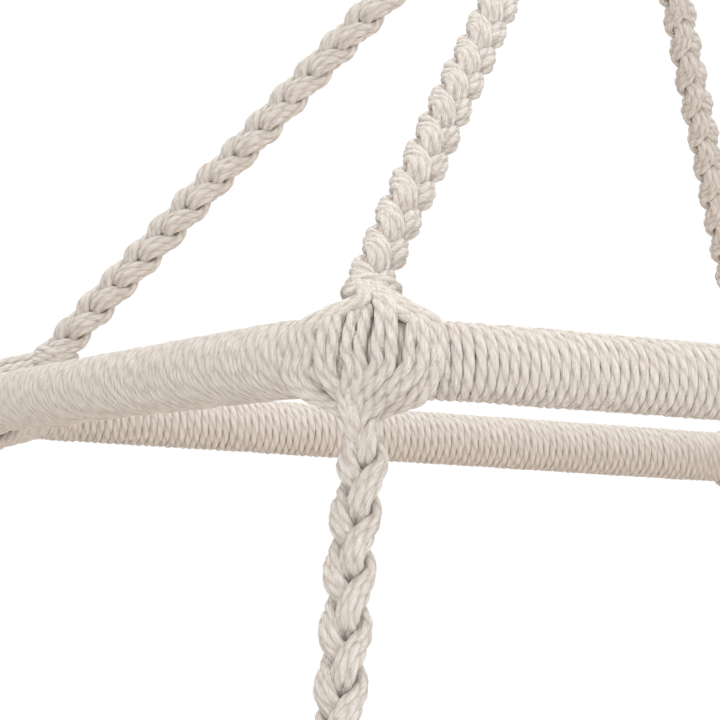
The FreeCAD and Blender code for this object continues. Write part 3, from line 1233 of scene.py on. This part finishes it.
@dataclass(frozen=True)
class Studio:
    """Floor, lights and camera round the planter."""

    frame_level: float
    camera_offset: tuple = (-0.6087, -1.0978, -0.0776)
    heading: float = 23.66
    pitch: float = 4.60
    roll: float = 2.475
    lens: float = 134.5
    floor_drop: float = 0.30
    floor_radius: float = 3.0

    def build(self) -> None:
        """Make everything that isn't part of the planter."""
        self.camera()
        self.floor()
        self.world()
        self.area("key", (-1.6, -2.2, 0.9), 1.6, 40.5, (1.0, 0.985, 0.96))
        self.area("fill", (2.2, -1.6, 0.1), 1.8, 26.5, (0.97, 0.985, 1.0))
        self.area("top", (0.1, 0.2, 1.9), 2.2, 39.0, (1.0, 1.0, 1.0))
        self.area("back", (0.8, 2.4, 0.6), 1.8, 18.0, (1.0, 1.0, 1.0))

    def camera(self) -> None:
        """Set the camera low beside one corner of the upper frame, tilted a little up."""
        data = bpy.data.cameras.new("camera")
        data.lens = self.lens
        data.sensor_width = 36.0
        data.clip_start = 0.02
        camera = add_object("camera", data)
        yaw, tilt, lean = (math.radians(a) for a in (self.heading, self.pitch, self.roll))
        forward = np.array([math.sin(yaw) * math.cos(tilt), math.cos(yaw) * math.cos(tilt),
                            math.sin(tilt)])
        level = np.array([math.cos(yaw), -math.sin(yaw), 0.0])
        upright = np.cross(level, forward)
        right = level * math.cos(lean) + upright * math.sin(lean)
        top = np.cross(right, forward)
        rows = np.stack([right, top, -forward], 1)
        matrix = Matrix(rows.tolist()).to_4x4()
        matrix.translation = Vector(self.camera_offset) + Vector((0, 0, self.frame_level))
        camera.matrix_world = matrix
        bpy.context.scene.camera = camera

    def floor(self) -> None:
        """Lay the plain pale floor under the planter."""
        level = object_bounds()[0].z - self.floor_drop
        around = np.linspace(0, FULL_TURN, 96, endpoint=False)
        rim = [spoke(a) * self.floor_radius + UP * level for a in around]
        mesh = bpy.data.meshes.new("floor")
        mesh.from_pydata(rim, [], [list(range(len(rim)))])
        floor = add_object("floor", mesh)
        graph = ShaderGraph("pale_floor")
        graph.constant(Base_Color=(0.86, 0.86, 0.85, 1.0), Roughness=0.8)
        mesh.materials.append(graph.material)
        floor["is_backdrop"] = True

    def world(self) -> None:
        """Make the soft pale surroundings."""
        world = bpy.data.worlds.new("studio")
        world.use_nodes = True
        tree = world.node_tree
        background = tree.nodes["Background"]
        background.inputs["Color"].default_value = (1.0, 0.985, 0.965, 1.0)
        background.inputs["Strength"].default_value = 0.75
        white = tree.nodes.new("ShaderNodeBackground")
        white.inputs["Color"].default_value = (1.0, 1.0, 1.0, 1.0)
        white.inputs["Strength"].default_value = 1.02
        path = tree.nodes.new("ShaderNodeLightPath")
        blend = tree.nodes.new("ShaderNodeMixShader")
        tree.links.new(path.outputs["Is Camera Ray"], blend.inputs[0])
        tree.links.new(background.outputs[0], blend.inputs[1])
        tree.links.new(white.outputs[0], blend.inputs[2])
        tree.links.new(blend.outputs[0], tree.nodes["World Output"].inputs["Surface"])
        bpy.context.scene.world = world

    def area(self, name: str, offset: tuple, size: float, power: float, colour: tuple) -> None:
        """Hang one soft light, aimed at the upper frame.

        Args:
            name: the light's name.
            offset: its place from the upper frame's middle.
            size: the side of its square.
            power: its power in watts.
            colour: its colour.
        """
        data = bpy.data.lights.new(name, "AREA")
        data.size = size
        data.energy = power
        data.color = colour
        lamp = add_object(name, data)
        lamp.location = Vector(offset) + Vector((0, 0, self.frame_level))
        aim = Vector((0, 0, self.frame_level)) - lamp.location
        lamp.rotation_euler = aim.to_track_quat("-Z", "Y").to_euler()


def finish_carried_nodes(finishes: dict[str, Material]) -> None:
    """Give the CAD nodes that stay visible their own finishes.

    Args:
        finishes: each node's material.
    """
    for node, material in finishes.items():
        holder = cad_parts[node]
        holder.data.materials.clear()
        holder.data.materials.append(material)


def main() -> None:
    """Build the planter's looks, piece by piece."""
    logging.basicConfig(level=logging.INFO, format="%(message)s")
    bpy.context.scene.view_settings.view_transform = "Standard"
    upper = FramePlan.of("upper_frame_cane")
    lower = FramePlan.of("lower_frame_cane")
    wrap_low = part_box("gathering_wrap")[0].z
    apex = UP * (upper.level + APEX_RISE)
    Studio(upper.level).build()
    cotton = CottonFinish().material()
    tassel_cotton = CottonFinish("combed_cotton", streak_length=20 * MM, bump=0.6).material()
    cord = Cord()
    knot_cord = Cord(diameter=5.2 * MM)
    wrap_cord = Cord(diameter=4.65 * MM, groove_depth=0.15)
    tight = Plait(Cord(diameter=5.0 * MM, groove_depth=0.15), diamond(2.8 * MM, 1.2 * MM),
                  half_width=5.2 * MM, half_depth=3.8 * MM, bump_spacing=18.2 * MM, roll=66.0)
    loose = Plait(Cord(diameter=4.6 * MM, groove_depth=0.16), diamond(2.6 * MM, 1.5 * MM),
                  half_width=5.7 * MM, half_depth=4.4 * MM, bump_spacing=20.0 * MM, roll=9.0)
    foot_along, foot_out = -7.5 * MM, 4.5 * MM
    braids = Braids(upper, lower, apex, wrap_low, tight, loose, foot_along, foot_out,
                    np.array([-3.9, 1.7, 0.0]) * MM, cotton)
    WrappedFrame("upper", "hanger", upper, wrap_cord, cotton, 11).build()
    WrappedFrame("lower", "tier", lower, wrap_cord, cotton, 31).build()
    for number, corner in enumerate(Corner):
        braids.build_upper(corner, 100 + number)
        braids.build_lower(corner, 120 + number)
        CornerKnot("upper", "hanger", upper, corner, knot_cord, cotton, 140 + number,
                   braids.upper_way(corner), braids.lower_way(corner), braids.stray_of(corner),
                   foot_along, foot_out).build()
        CornerKnot("lower", "tier", lower, corner, knot_cord, cotton, 160 + number,
                   -braids.lower_way(corner), -UP).build()
        Tassel(cord, Yarn(), corner, tassel_cotton, 180 + 2 * number).build()
    hanger = Hanger(cord, cotton, SteelFinish().material(), 200)
    hanger.ring()
    hanger.loops()
    hanger.wrap()
    cane = CaneFinish().material()
    finish_carried_nodes({
        "upper_frame_cane": cane,
        "lower_frame_cane": cane,
        "pot_board": WoodFinish().material(),
    })


if __name__ == "__main__":
    main()
